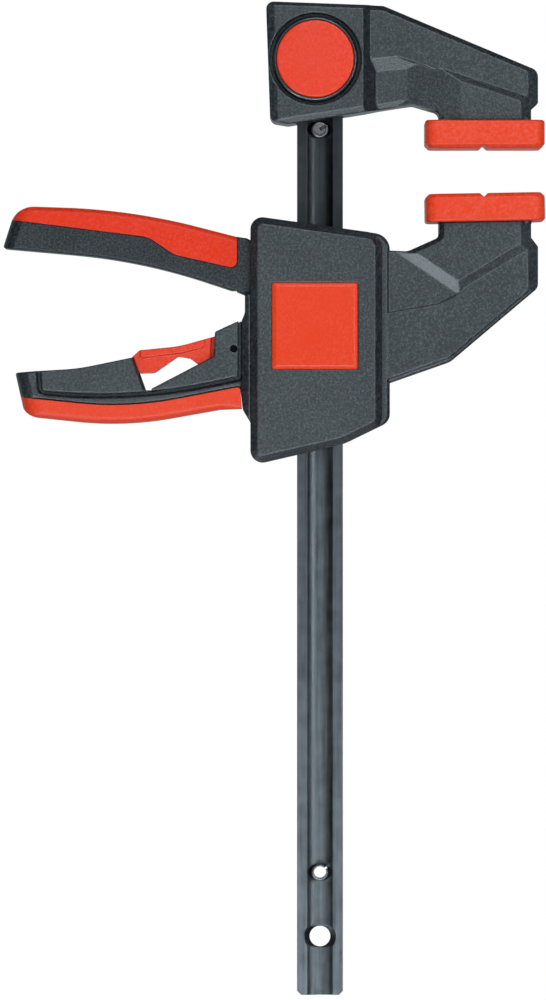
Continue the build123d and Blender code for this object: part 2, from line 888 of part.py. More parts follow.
def make_handle_frame():
    face = handle_frame_face()
    frame = both_sides(front_slab(face, handle_half, handle_bevel))
    frame = (frame + handle_grip_core()) & handle_tip()
    # Shoulder that widens the handle into the body.
    shoulder_half = body_half - body_bevel
    edge = Pos(shoulder_x, body_top_z) * Rectangle(4 * shoulder_run, body_top_z)
    shoulder = front_slab(face & edge, shoulder_half, handle_bevel)
    drop = shoulder_half - handle_half
    side = [(shoulder_x, body_top_z), (shoulder_x, 0)]
    shoulder = keep_left(shoulder, *side, shoulder_half, shoulder_run, drop)
    return frame + both_sides(shoulder)


# ---------------------------------------------------------- carriage castings
def make_housing():
    shell = slab(body_face(body_right_x), cover_seam_y, body_half - body_bevel)
    front_edges = shell.faces().sort_by(Axis.Y)[0].edges()
    right_edge = front_edges.filter_by_position(Axis.X, cover_right_x + 0.5, body_right_x + 1)
    shell = chamfer(right_edge, body_rim)
    back = Plane.XZ.offset(body_bevel - body_half) * body_face(body_right_x)
    shell += extrude(back, amount=-body_bevel, taper=45)
    arm = both_sides(make_moving_arm() & nose_column(0, bar_high_z))
    arm -= on_moving_jaw(below_mouth())
    arm += on_moving_jaw(make_foot())
    housing = shell + arm + make_handle_frame()
    housing -= body_cavity()
    housing -= left_wall_slots()
    housing -= insert_channel()
    housing -= bar_slot(0, bar_high_z)
    housing -= slab(offset(body_face(cover_right_x), amount=seat_gap), -through, cover_seam_y)
    housing -= pin_hole()
    for x, z in screw_places:
        housing -= rod(x, z, screw_d + 2 * seat_gap, -body_half, body_half)
        head_y = body_half - body_bevel - screw_head_sink
        housing -= rod(x, z, screw_head_d + screw_head_room, head_y, body_half)
    return housing


def pin_hole():
    """Hole for the lever's pin in the housing and in the cover."""
    return rod(lever_pivot_x, lever_pivot_z, lever_pin_d, -lever_pin_half, lever_pin_half)


def make_front_cover():
    face = body_face(cover_right_x)
    cover = front_slab(face, body_half, body_bevel, cover_seam_y)
    inner = offset(face, amount=-body_wall)
    pocket_y = cover_wall - body_half
    hollow = slab(inner, pocket_y, cover_seam_y)
    for x, z in screw_places:
        hollow -= rod(x, z, screw_boss_d, pocket_y, cover_seam_y)
    cover -= hollow
    cover += pivot_boss(pocket_y, -lever_half - side_gap)
    cover -= pin_hole()
    for x, z in screw_places:
        cover -= rod(x, z, screw_d + 2 * seat_gap, cover_seam_y - screw_bite, cover_seam_y)
    return cover - slab(badge_face(0), -body_half, badge_recess - body_half)


def badge_face(gap):
    """Front view of the badge's recess, or of the badge with a gap round it."""
    return outline(
        [
            (badge_left_x + gap, badge_low_z + gap, badge_round),
            (badge_right_x - gap, badge_low_z + gap, badge_round),
            (badge_right_x - gap, badge_high_z - gap, badge_round),
            (badge_left_x + gap, badge_high_z - gap, badge_round),
        ]
    )


def make_badge_plate():
    """Plain coloured plate let into the cover, with a wide shallow bevel."""
    face = badge_face(seat_gap)
    rise = badge_thick - badge_recess
    lean = degrees(atan2(badge_edge, rise))
    plate = slab(face, -body_half, badge_recess - body_half)
    return plate + extrude(Plane.XZ.offset(body_half) * face, amount=rise, taper=lean)


def make_cover_screws():
    head_y = body_half - body_bevel - screw_head_sink
    tip_y = cover_seam_y - screw_bite + screw_tip_gap
    screws = []
    for x, z in screw_places:
        screw = rod(x, z, screw_d, tip_y, head_y)
        head = rod(x, z, screw_head_d, head_y, head_y + screw_head)
        head -= Pos(x, head_y + screw_head, z) * Rot(90, 0, 0) * cross_recess()
        screws.append(screw + head)
    return Compound(screws)


def cross_recess():
    arm = Box(cross_length, cross_width, 2 * cross_depth)
    return arm + Rot(0, 0, 90) * arm


def make_lever_pin():
    pin = rod(lever_pivot_x, lever_pivot_z, lever_pin_d, -lever_pin_half, lever_pin_half)
    return chamfer(pin.edges().filter_by(GeomType.CIRCLE), pin_chamfer)


def make_trigger_pin():
    half = handle_half - trigger_pin_sunk
    return rod(trigger_pivot_x, trigger_pivot_z, trigger_pin_d, -half, half)


# --------------------------------------------------------------- drive lever
def lever_face():
    """Front view of the lever's grip, from its tip to the body."""
    return outline(
        [
            (-103.9, 225.4, 0.9),
            (-99.5, 239.2, 8.0),
            (-61.7, 238.0, 205.0),
            (-27.2, 229.1, 0),
            (lever_neck_x, 228.7, 0),
            (lever_neck_x, 210.2, 0),
            (-58.6, 221.4, 190.0),
        ]
    )


def lever_grip_zone():
    """The upper, soft part of the lever in the front view."""
    return outline(
        [
            (-112.0, 236.0, 0),
            (-56.3, 229.0, 7.0),
            (-47.6, 223.2, 7.0),
            (-27.2, 218.6, 2.0),
            (-27.2, 250.0, 0),
            (-112.0, 250.0, 0),
        ]
    )


def lever_cheek_face():
    end = lever_pivot_x + lever_eye
    return outline(
        [
            (-27.2, 228.7, 0),
            (-24.2, 228.7, 1.0),
            (-19.0, 226.2, 2.0),
            (end, lever_pivot_z + lever_eye, lever_eye - 0.1),
            (end, lever_pivot_z - lever_eye, lever_eye - 0.1),
            (-8.0, 210.9, 2.0),
            (lever_neck_x, 210.2, 0),
            (-27.2, 211.2, 0),
        ]
    )


def lever_grip_core():
    core = offset(lever_face(), amount=-grip_skin) & lever_grip_zone()
    return slab(core, -lever_core_half, lever_core_half)


def lever_tip():
    return tip_column((-103.9, 225.4), (-99.5, 239.2), lever_grip_half, lever_tip_round)


def make_lever_grip():
    grip = both_sides(rounded_slab(lever_face(), lever_grip_half, grip_round))
    grip &= slab(lever_grip_zone(), -through, through)
    return (grip - lever_grip_core()) & lever_tip()


def make_drive_lever():
    lever = both_sides(chamfered_slab(lever_face(), lever_half, lever_bevel))
    lever -= slab(lever_grip_zone(), -through, through)
    lever = (lever + lever_grip_core()) & lever_tip()
    lever += both_sides(chamfered_slab(lever_cheek_face(), lever_half, lever_bevel))
    fork_half = lever_half - cheek_thick
    lever -= block((fork_left_x, -fork_half, 0), (through, fork_half, bar_high_z))
    lever -= rod(drive_pin_x, drive_pin_z, drive_pin_d, -through, through)
    hole = lever_pin_d + 2 * running_gap
    return lever - rod(lever_pivot_x, lever_pivot_z, hole, -through, through)


def make_drive_pin():
    return rod(drive_pin_x, drive_pin_z, drive_pin_d, -lever_half, lever_half)


# ------------------------------------------------- drive plates and springs
plate_top_z = drive_pin_z - drive_pin_d / 2 - pin_play
plate_low_z = plate_top_z - plate_count * (plate_thick + plate_stack_gap)


def make_drive_plates():
    section = Pos((plate_left_x + plate_right_x) / 2, 0) * RectangleRounded(
        plate_right_x - plate_left_x, 2 * plate_half, plate_round
    )
    section -= Rectangle(bar_width + plate_play_x, bar_thick + plate_play_y)
    pitch = plate_thick + plate_stack_gap
    plates = [
        Pos(0, 0, plate_top_z - plate_thick - n * pitch) * extrude(section, plate_thick)
        for n in range(plate_count)
    ]
    return Compound(plates)


def make_drive_spring():
    inner = hypot(bar_width, bar_thick) + drive_spring_play
    length = plate_low_z + plate_stack_gap - shelf_top_z
    outer = inner + 2 * drive_spring_wire
    spring = coil(outer, drive_spring_wire, length, drive_spring_turns, wide_coil_steps)
    return Pos(0, 0, shelf_top_z) * spring


# ------------------------------------------------------- brake and trigger
def make_brake_plate():
    length = brake_right_x - brake_left_x
    section = Pos((brake_right_x + brake_left_x) / 2, 0) * Rectangle(length, 2 * brake_half)
    section += Pos(brake_arm_x / 2, 0) * Rectangle(-brake_arm_x, 2 * brake_arm_half)
    section -= Rectangle(bar_width + brake_play_x, bar_thick + plate_play_y)
    plate = Pos(0, 0, brake_top_z - brake_thick) * extrude(section, brake_thick)
    return turned(plate, fulcrum_x, brake_top_z, -brake_tilt)


def make_brake_spring():
    lift = (fulcrum_x - brake_spring_x) * tan(radians(brake_tilt))
    length = brake_top_z - brake_thick + lift - brake_spring_z - spring_gap
    spring = coil(brake_spring_d, brake_spring_wire, length, brake_spring_turns)
    return Pos(brake_spring_x, 0, brake_spring_z) * spring


def make_release_trigger():
    face = outline(
        [
            (-61.9, 189.4, 0),
            (-59.1, 192.0, 1.5),
            (-46.0, 193.3, 40.0),
            (-34.0, 196.7, 2.0),
            (-24.2, 196.5, 4.0),
            (-24.2, 188.5, 3.9),
            (-36.0, 188.3, 1.0),
            (-39.6, 187.2, 1.2),
            (-42.6, 189.4, 1.0),
            (-46.4, 190.0, 1.0),
            (-54.2, 184.6, 2.5),
            (-59.3, 184.5, 1.2),
        ]
    )
    # The part under the finger is wider than the hub between the cheeks.
    finger = make_face(Polyline((-70, 180), (-36.4, 180), (-35.4, 200), (-70, 200), close=True))
    trigger = slab(face - finger, -trigger_hub_half, trigger_hub_half)
    trigger += slab(face & finger, -trigger_web_half, trigger_web_half)
    rest = outline(
        [
            (-58.9, 189.3, 0.8),
            (-58.9, 200.0, 0),
            (-37.8, 200.0, 0),
            (-37.8, 192.8, 1.5),
            (-46.0, 190.9, 20.0),
        ]
    )
    trigger += both_sides(chamfered_slab(face & rest, trigger_half, 0.3))
    hole = trigger_pin_d + 2 * running_gap
    return trigger - rod(trigger_pivot_x, trigger_pivot_z, hole, -through, through)


# ------------------------------------------------------------------ assembly
def make_bar_and_jaw():
    """The pieces that stay with the bar."""
    return {
        "bar": make_bar(),
        "top_stop_pin": make_stop_pin(high_pin_z, stop_pin_cup),
        "bottom_stop_pin": make_stop_pin(low_pin_z, stop_pin_length / 2),
        "fixed_jaw": make_fixed_jaw(),
        "fixed_jaw_pad": on_fixed_jaw(make_pad()),
        "latch_lid": latch_lid_block(seat_gap),
        "button_collar": make_button_collar(),
        "release_button": make_release_button(),
        "latch_yoke": make_latch_yoke(),
        "button_spring": make_button_spring(),
    }


def make_carriage():
    """The pieces that slide along the bar, at the height they are drawn at."""
    return {
        "carriage_housing": make_housing(),
        "front_cover": make_front_cover(),
        "badge_plate": make_badge_plate(),
        "cover_screws": make_cover_screws(),
        "moving_jaw_pad": on_moving_jaw(make_pad()),
        "handle_insert": make_handle_insert(),
        "handle_grip": make_handle_grip(),
        "lever_pivot_pin": make_lever_pin(),
        "trigger_pin": make_trigger_pin(),
        "drive_lever": make_drive_lever(),
        "lever_grip": make_lever_grip(),
        "drive_pin": make_drive_pin(),
        "drive_plates": make_drive_plates(),
        "drive_spring": make_drive_spring(),
        "brake_plate": make_brake_plate(),
        "brake_spring": make_brake_spring(),
        "release_trigger": make_release_trigger(),
    }


def make_parts():
    """Every piece of the clamp, by name, with the carriage below the fixed jaw."""
    lift = Pos(0, 0, carriage_lift)
    return make_bar_and_jaw() | {name: lift * piece for name, piece in make_carriage().items()}


os.makedirs("parts", exist_ok=True)
for name, solid in make_parts().items():
    export_step(solid, f"parts/{name}.step")
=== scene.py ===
"""One-handed quick release bar clamp: the dressed model, laid out as a Blender add-on."""

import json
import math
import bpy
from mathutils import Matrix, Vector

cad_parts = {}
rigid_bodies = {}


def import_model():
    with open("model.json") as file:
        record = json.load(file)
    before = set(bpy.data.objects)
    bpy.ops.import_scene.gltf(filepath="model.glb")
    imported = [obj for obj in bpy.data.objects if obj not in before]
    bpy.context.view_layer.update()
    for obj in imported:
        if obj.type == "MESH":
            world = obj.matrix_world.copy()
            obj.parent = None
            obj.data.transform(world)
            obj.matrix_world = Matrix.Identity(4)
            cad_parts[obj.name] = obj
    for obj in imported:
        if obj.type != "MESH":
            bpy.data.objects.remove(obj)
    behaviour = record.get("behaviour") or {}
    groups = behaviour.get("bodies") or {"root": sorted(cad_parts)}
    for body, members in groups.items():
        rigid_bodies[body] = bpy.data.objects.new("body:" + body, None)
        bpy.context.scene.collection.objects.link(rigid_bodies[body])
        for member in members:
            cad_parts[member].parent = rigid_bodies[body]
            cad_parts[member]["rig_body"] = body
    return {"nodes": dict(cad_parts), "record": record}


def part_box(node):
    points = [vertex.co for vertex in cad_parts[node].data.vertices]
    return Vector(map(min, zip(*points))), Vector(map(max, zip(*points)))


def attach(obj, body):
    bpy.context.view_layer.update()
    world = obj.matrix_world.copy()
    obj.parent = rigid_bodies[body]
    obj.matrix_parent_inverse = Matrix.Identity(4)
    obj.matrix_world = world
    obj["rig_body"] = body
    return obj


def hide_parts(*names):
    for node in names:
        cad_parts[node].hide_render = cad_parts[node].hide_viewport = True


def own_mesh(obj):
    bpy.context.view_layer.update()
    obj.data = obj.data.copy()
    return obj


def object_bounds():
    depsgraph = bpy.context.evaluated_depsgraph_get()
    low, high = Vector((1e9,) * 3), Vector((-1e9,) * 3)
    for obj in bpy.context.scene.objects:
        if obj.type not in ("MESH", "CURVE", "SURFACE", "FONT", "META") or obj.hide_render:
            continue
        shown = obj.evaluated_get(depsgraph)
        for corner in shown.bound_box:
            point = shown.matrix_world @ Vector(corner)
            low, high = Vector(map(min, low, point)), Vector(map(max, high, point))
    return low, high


bl_info = {
    "name": "Quick Release Bar Clamp",
    "version": (1, 0, 0),
    "blender": (4, 5, 0),
    "location": "View3D > Sidebar > Bar Clamp",
    "description": "Builds the finishes, rounded castings, springs and studio of a bar clamp",
    "category": "Object",
}

import bmesh
import bpy
from bpy.props import FloatProperty, FloatVectorProperty, IntProperty, PointerProperty
from mathutils import Euler, Matrix, Vector

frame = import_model()
SOLID_BOX = [list(corner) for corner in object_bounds()]
NODES = frame["nodes"]
SLOTS = {part["node"]: part["material_slot"] for part in frame["record"]["subparts"]}
MM = 0.001
Y_AXIS, Z_AXIS = 1, 2


# ------------------------------------------------------------------ settings
def colour(name, description, default):
    return FloatVectorProperty(
        name=name,
        description=description,
        subtype="COLOR",
        size=4,
        default=(*default, 1.0),
        min=0.0,
        max=1.0,
    )


def length(name, description, default):
    return FloatProperty(
        name=name, description=description, default=default, min=0.0, subtype="DISTANCE", unit="LENGTH"
    )


class ClampFinishSettings(bpy.types.PropertyGroup):
    """Colours of the clamp's finishes"""

    nylon: colour("Nylon", "Ground colour of the glass-filled nylon", (0.004, 0.006, 0.009))
    nylon_fleck: colour("Nylon fleck", "Colour of the pale fibres near its surface", (0.057, 0.067, 0.072))
    cap_red: colour("Pad red", "Colour of the jaw pads", (0.73, 0.040, 0.005))
    lever_red: colour("Lever grip red", "Colour of the drive lever's soft skin", (0.69, 0.027, 0.003))
    grip_red: colour("Handle grip red", "Colour of the handle's soft skin", (0.74, 0.041, 0.007))
    button_red: colour("Button red", "Colour of the button and the trigger", (0.72, 0.034, 0.006))
    badge_red: colour("Badge red", "Colour of the plain plate on the cover", (0.73, 0.036, 0.002))
    bar_steel: colour("Bar steel", "Colour of the burnished bar", (0.052, 0.055, 0.059))
    dull_steel: colour("Dull steel", "Colour of the stop pins", (0.11, 0.105, 0.11))
    bright_steel: colour("Bright steel", "Colour of pins, plates and springs", (0.50, 0.50, 0.51))


class ClampSizeSettings(bpy.types.PropertyGroup):
    """Roundings of the clamp's edges"""

    casting_edge: length("Casting edge", "Rounding of the edges of the moulded castings", 0.7 * MM)
    cheek_edge: length("Cheek edge", "Rounding of the small black mouldings", 0.35 * MM)
    pad_edge: length("Pad edge", "Rounding of the jaw pads", 0.6 * MM)
    grip_edge: length("Grip edge", "Rounding of the soft grips", 0.9 * MM)
    button_edge: length("Button edge", "Rounding of the release button", 0.8 * MM)
    trigger_edge: length("Trigger edge", "Rounding of the release trigger", 0.3 * MM)
    trim_edge: length("Trim edge", "Rounding of the button's collar and the plain plate", 0.25 * MM)
    steel_edge: length("Steel edge", "Rounding of stamped steel edges", 0.2 * MM)
    stop_pin_edge: length("Stop pin edge", "Rounding of the stop pins", 0.12 * MM)
    edge_segments: IntProperty(
        name="Edge segments", description="Steps in each broad rounded edge", default=4, min=1, max=6
    )


class ClampStageSettings(bpy.types.PropertyGroup):
    """Camera and floor of the studio"""

    lens: FloatProperty(
        name="Lens",
        description="Focal length of the camera",
        default=350.0,
        min=20.0,
        subtype="DISTANCE_CAMERA",
    )
    view_height: length("View height", "Height of what the camera frames at the clamp", 0.328)
    floor_drop: length("Floor drop", "How far the floor lies under the clamp", 0.5)


# -------------------------------------------------------------- node helpers
# A Mix node's two inputs and its output, by their places, for numbers and for colours.
MIX_SOCKETS = {"FLOAT": (2, 3, 0), "RGBA": (6, 7, 2)}
# Values between which most of a noise lies.
NOISE_SPAN = (0.3, 0.7)


class Graph:
    """Adds and links the nodes of one tree."""

    def __init__(self, tree):
        self.tree = tree

    def add(self, kind, **inputs):
        """New node, with inputs named as its sockets are, an underscore for each space."""
        node = self.tree.nodes.new(kind)
        for key, value in inputs.items():
            self.feed(node, key.replace("_", " "), value)
        return node

    def find(self, kind):
        """First node of a kind that the tree already has."""
        return next(node for node in self.tree.nodes if node.type == kind)

    def feed(self, node, key, value):
        """Links or sets one input, given by its place or by the name of a socket in use."""
        if isinstance(key, int):
            socket = node.inputs[key]
        else:
            socket = next(s for s in node.inputs if s.name == key and s.enabled)
        if isinstance(value, bpy.types.NodeSocket):
            self.tree.links.new(value, socket)
        else:
            socket.default_value = value

    def maths(self, operation, *values, clamp=False):
        node = self.tree.nodes.new("ShaderNodeMath")
        node.operation = operation
        node.use_clamp = clamp
        for index, value in enumerate(values):
            self.feed(node, index, value)
        return node.outputs[0]

    def vector_maths(self, operation, first, second):
        node = self.tree.nodes.new("ShaderNodeVectorMath")
        node.operation = operation
        self.feed(node, 0, first)
        self.feed(node, "Scale" if operation == "SCALE" else 1, second)
        return node.outputs["Value" if operation == "DOT_PRODUCT" else "Vector"]

    def noise(self, vector, scale, detail=2.0, rough=0.5):
        node = self.add("ShaderNodeTexNoise", Vector=vector, Scale=scale, Detail=detail, Roughness=rough)
        return node.outputs[0]

    def ramp(self, value, low, high, to_low=0.0, to_high=1.0):
        """Turns the span from low to high into the span from to_low to to_high."""
        node = self.tree.nodes.new("ShaderNodeMapRange")
        for index, number in enumerate((value, low, high, to_low, to_high)):
            self.feed(node, index, number)
        return node.outputs[0]

    def sway(self, noise, reach):
        """Swings about zero with a noise, as far as the reach each way."""
        return self.ramp(noise, *NOISE_SPAN, -reach, reach)

    def mix(self, kind, factor, first, second):
        """Blends two numbers (FLOAT) or two colours (RGBA)."""
        node = self.tree.nodes.new("ShaderNodeMix")
        node.data_type = kind
        first_place, second_place, result_place = MIX_SOCKETS[kind]
        self.feed(node, 0, factor)
        self.feed(node, first_place, first)
        self.feed(node, second_place, second)
        return node.outputs[result_place]


# ------------------------------------------------------------- surface groups
DRIFT_SCALE = 38.0
# Scale and height of the coarse grain, as shares of the fine grain's.
COARSE_SHARE = 0.6
# Product of the two grains at which a fleck begins to show and at which it is full.
FLECK_LEVELS = (0.19, 0.40)

MOTTLE_SCALE = 260.0
# Drawing marks are long along Z, so the pattern is read slowly that way.
STREAK_STRETCH = (1.0, 1.0, 0.03)
# Heights in metres between which painted light on the bar runs, and the change of tone at each of the two:
# a painted sheen paler low down, a painted shade darker high up under the head.
LOW_PAINTED_SHEEN = (0.0, 0.15, 0.20, 0.0)
TOP_PAINTED_SHADE = (0.19, 0.235, 0.0, -0.55)


def surface_group(name, inputs):
    """Empty group for a surface's colour, roughness and relief; gives its graph, inputs and output node."""
    tree = bpy.data.node_groups.new(name, "ShaderNodeTree")
    for label, kind, default in inputs:
        socket = tree.interface.new_socket(name=label, in_out="INPUT", socket_type=kind)
        if default is not None:
            socket.default_value = default
    outputs = {"Color": "NodeSocketColor", "Roughness": "NodeSocketFloat", "Height": "NodeSocketFloat"}
    for label, kind in outputs.items():
        tree.interface.new_socket(name=label, in_out="OUTPUT", socket_type=kind)
    return Graph(tree), tree.nodes.new("NodeGroupInput").outputs, tree.nodes.new("NodeGroupOutput")


def moulded_grain_group():
    """Spark-eroded skin: flecks of paler fibre, fine pits and slow tonal drift."""
    graph, given, result = surface_group(
        "Moulded Grain",
        [
            ("Vector", "NodeSocketVector", None),
            ("Ground", "NodeSocketColor", None),
            ("Fleck", "NodeSocketColor", None),
            ("Grain Scale", "NodeSocketFloat", 1500.0),
            ("Fleck Amount", "NodeSocketFloat", 0.5),
            ("Roughness", "NodeSocketFloat", 0.5),
        ],
    )
    vector = given["Vector"]
    fine = graph.noise(vector, given["Grain Scale"], rough=0.7)
    coarse_scale = graph.maths("MULTIPLY", given["Grain Scale"], COARSE_SHARE)
    coarse = graph.noise(vector, coarse_scale, rough=0.6)
    drift = graph.noise(vector, DRIFT_SCALE)

    spots = graph.ramp(graph.maths("MULTIPLY", fine, coarse), *FLECK_LEVELS)
    flecks = graph.maths("MULTIPLY", spots, given["Fleck Amount"], clamp=True)
    paleness = graph.maths("ADD", flecks, graph.sway(drift, reach=0.06), clamp=True)
    graph.feed(result, "Color", graph.mix("RGBA", paleness, given["Ground"], given["Fleck"]))

    unevenness = graph.maths("ADD", graph.sway(drift, reach=0.05), graph.sway(coarse, reach=0.04))
    graph.feed(result, "Roughness", graph.maths("ADD", given["Roughness"], unevenness, clamp=True))
    graph.feed(result, "Height", graph.maths("ADD", fine, graph.maths("MULTIPLY", coarse, COARSE_SHARE)))
    return graph.tree


def drawn_steel_group():
    """Drawn steel: streaks along Z over a slow mottle, with a painted sheen paler low down and a painted
    shade darker high up under the head.
    """
    graph, given, result = surface_group(
        "Drawn Steel",
        [
            ("Vector", "NodeSocketVector", None),
            ("Ground", "NodeSocketColor", None),
            ("Streak Scale", "NodeSocketFloat", 900.0),
            ("Streak Amount", "NodeSocketFloat", 0.4),
            ("Roughness", "NodeSocketFloat", 0.35),
            ("Tail Wear", "NodeSocketFloat", 0.0),
        ],
    )
    vector = given["Vector"]
    height = graph.add("ShaderNodeSeparateXYZ", Vector=vector).outputs["Z"]
    # Painted light on the bar: a painted sheen makes it paler low down, a painted shade makes it darker
    # high up under the head.
    change = graph.maths("ADD", graph.ramp(height, *LOW_PAINTED_SHEEN), graph.ramp(height, *TOP_PAINTED_SHADE))
    painted_light = graph.maths("MULTIPLY", change, given["Tail Wear"])
    drawn = graph.vector_maths("MULTIPLY", vector, STREAK_STRETCH)
    streak = graph.noise(drawn, given["Streak Scale"], detail=3.0, rough=0.6)
    mottle = graph.noise(vector, MOTTLE_SCALE, detail=3.0, rough=0.6)

    streaks = graph.maths("MULTIPLY", graph.sway(streak, reach=0.5), given["Streak Amount"])
    tone = graph.maths("ADD", graph.maths("ADD", streaks, graph.sway(mottle, reach=0.1)), 1.0)
    tone_with_painted_light = graph.maths("MULTIPLY", tone, graph.maths("ADD", painted_light, 1.0))
    graph.feed(result, "Color", graph.vector_maths("SCALE", given["Ground"], tone_with_painted_light))

    unevenness = graph.maths("ADD", graph.sway(streak, reach=0.06), graph.sway(mottle, reach=0.06))
    graph.feed(result, "Roughness", graph.maths("ADD", given["Roughness"], unevenness, clamp=True))
    graph.feed(result, "Height", streak)
    return graph.tree


# ------------------------------------------------------------------ materials
FINISHES = {}
EDGE_SAMPLES = 8
# How far a red's flecks go towards white.
RED_PALENESS = 0.06


def new_material(name, group, pattern, bump, depth, edge, **shader):
    """Material whose group feeds colour, roughness and bump of one Principled shader, with softened edges.

    The depth of the bump and the radius of the softening are in millimetres.
    """
    material = bpy.data.materials.new(name)
    material.use_nodes = True
    graph = Graph(material.node_tree)
    principled = graph.find("BSDF_PRINCIPLED")
    surface = graph.tree.nodes.new("ShaderNodeGroup")
    surface.node_tree = group
    graph.feed(surface, "Vector", graph.add("ShaderNodeTexCoord").outputs["Object"])
    for key, value in pattern.items():
        graph.feed(surface, key, value)
    graph.feed(principled, "Base Color", surface.outputs["Color"])
    graph.feed(principled, "Roughness", surface.outputs["Roughness"])
    softened = graph.add("ShaderNodeBevel", Radius=edge * MM)
    softened.samples = EDGE_SAMPLES
    height = surface.outputs["Height"]
    relief = graph.add("ShaderNodeBump", Strength=bump, Distance=depth * MM, Height=height)
    graph.feed(relief, "Normal", softened.outputs["Normal"])
    graph.feed(principled, "Normal", relief.outputs["Normal"])
    for key, value in shader.items():
        graph.feed(principled, key.replace("_", " "), value)
    material.diffuse_color = tuple(pattern["Ground"])
    FINISHES[name] = material


def make_finishes(colours):
    grain = moulded_grain_group()
    drawn = drawn_steel_group()

    def moulded(name, ground, fleck, scale, amount, rough, bump, depth=0.05, edge=0.7, gloss=0.5):
        pattern = {
            "Ground": ground,
            "Fleck": fleck,
            "Grain Scale": scale,
            "Fleck Amount": amount,
            "Roughness": rough,
        }
        new_material(name, grain, pattern, bump, depth, edge, Specular_IOR_Level=gloss)

    def nylon(name, fleck=colours.nylon_fleck, **look):
        moulded(name, colours.nylon, fleck, **look)

    def red(name, ground, **look):
        fleck = [part + (1.0 - part) * RED_PALENESS for part in ground[:3]]
        moulded(name, ground, (*fleck, 1.0), **look)

    def steel(name, ground, scale, amount, rough, bump, painted_light=0.0):
        pattern = {
            "Ground": ground,
            "Streak Scale": scale,
            "Streak Amount": amount,
            "Roughness": rough,
            "Tail Wear": painted_light,
        }
        new_material(name, drawn, pattern, bump, depth=0.02, edge=0.25, Metallic=1.0)

    casting = {"scale": 2100.0, "amount": 0.7, "bump": 0.7, "depth": 0.08, "edge": 0.9}
    nylon("Glass Filled Nylon", rough=0.42, gloss=0.38, **casting)
    nylon("Lever Nylon", rough=0.45, gloss=0.2, **casting)
    nylon("Collar Nylon", scale=1900.0, amount=0.4, rough=0.34, bump=0.25, edge=0.5)
    # Painted shade: the trigger pin's end is near-black and almost matt, standing for the shade inside a
    # hollow pin's bore.
    bore_shade_look = {"scale": 1400.0, "amount": 0.2, "bump": 0.3, "edge": 0.2, "gloss": 0.05}
    nylon("Painted Bore Shade", fleck=colours.nylon, rough=0.6, **bore_shade_look)
    # Painted shade: a grey plug stands for the shadow seen through the upper stop pin's slit.
    nylon("Painted Slit Shade", scale=1500.0, amount=0.8, rough=0.5, bump=0.6, edge=0.2)

    red("Pad Red", colours.cap_red, scale=1500.0, amount=0.6, rough=0.42, bump=0.45, gloss=0.12)
    skin = {"scale": 1800.0, "amount": 0.4, "rough": 0.42, "bump": 0.3}
    red("Lever Grip Red", colours.lever_red, gloss=0.08, **skin)
    red("Handle Grip Red", colours.grip_red, gloss=0.13, **skin)
    red("Button Red", colours.button_red, scale=1900.0, amount=0.5, rough=0.30, bump=0.2, gloss=0.14)
    red("Badge Red", colours.badge_red, scale=2200.0, amount=0.3, rough=0.28, bump=0.1, gloss=0.12)

    # The bar's tone carries painted light: a painted sheen low down and a painted shade under the head.
    steel("Burnished Bar", colours.bar_steel, scale=900.0, amount=0.35, rough=0.38, bump=0.35, painted_light=1.0)
    steel("Dull Steel", colours.dull_steel, scale=1400.0, amount=0.5, rough=0.5, bump=0.5)
    steel("Bright Steel", colours.bright_steel, scale=1400.0, amount=0.25, rough=0.30, bump=0.25)
    steel("Spring Steel", colours.bright_steel, scale=1800.0, amount=0.20, rough=0.28, bump=0.20)


# --------------------------------------------------------------- mesh helpers
MERGE_DISTANCE = 0.004 * MM
FLAT_ANGLE = math.radians(0.6)
SHADING_WEIGHT = 60
# Steps in the small rounded edges of steel and of mouldings.
STEEL_SEGMENTS, MOULDING_SEGMENTS = 2, 3
# Least angle between two faces, in degrees, at which their edge is rounded: low on castings, for their
# shallow facets, and high where fine facets stand for a curve.
CASTING_CREASE, COVER_CREASE, COMMON_CREASE, CURVED_CREASE, PIN_CREASE = 12.0, 20.0, 24.0, 30.0, 40.0


def new_object(name, data):
    thing = bpy.data.objects.new(name, data)
    bpy.context.scene.collection.objects.link(thing)
    return thing


def merged_copy(node, name):
    """Copy of a solid's mesh with its loose triangles joined into flat faces."""
    mesh = NODES[node].data.copy()
    mesh.name = name
    shape = bmesh.new()
    shape.from_mesh(mesh)
    bmesh.ops.remove_doubles(shape, verts=shape.verts, dist=MERGE_DISTANCE)
    bmesh.ops.dissolve_limit(
        shape, angle_limit=FLAT_ANGLE, verts=shape.verts, edges=shape.edges, use_dissolve_boundaries=False
    )
    shape.to_mesh(mesh)
    shape.free()
    return new_object(name, mesh)


def bake_modifiers(piece):
    """Turns a piece with all its modifiers into one plain mesh."""
    graph = bpy.context.evaluated_depsgraph_get()
    mesh = bpy.data.meshes.new_from_object(piece.evaluated_get(graph))
    piece.modifiers.clear()
    piece.data = mesh
    return piece


def round_edges(piece, width, segments, crease):
    """Rounds every edge sharper than the crease and shades the rest smooth."""
    edge = piece.modifiers.new("Rounded edges", "BEVEL")
    edge.width = width
    edge.segments = segments
    edge.limit_method = "ANGLE"
    edge.angle_limit = math.radians(crease)
    edge.use_clamp_overlap = True
    edge.miter_outer = "MITER_ARC"
    bake_modifiers(piece)
    for face in piece.data.polygons:
        face.use_smooth = True
    even = piece.modifiers.new("Even shading", "WEIGHTED_NORMAL")
    even.keep_sharp = True
    even.weight = SHADING_WEIGHT
    return bake_modifiers(piece)


def dress(piece, finish, body, slot_name, *nodes):
    """Gives a piece its finish and its place in the frame, standing for its solids."""
    piece.data.materials.clear()
    piece.data.materials.append(FINISHES[finish])
    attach(piece, body)
    if nodes:
        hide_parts(*nodes)


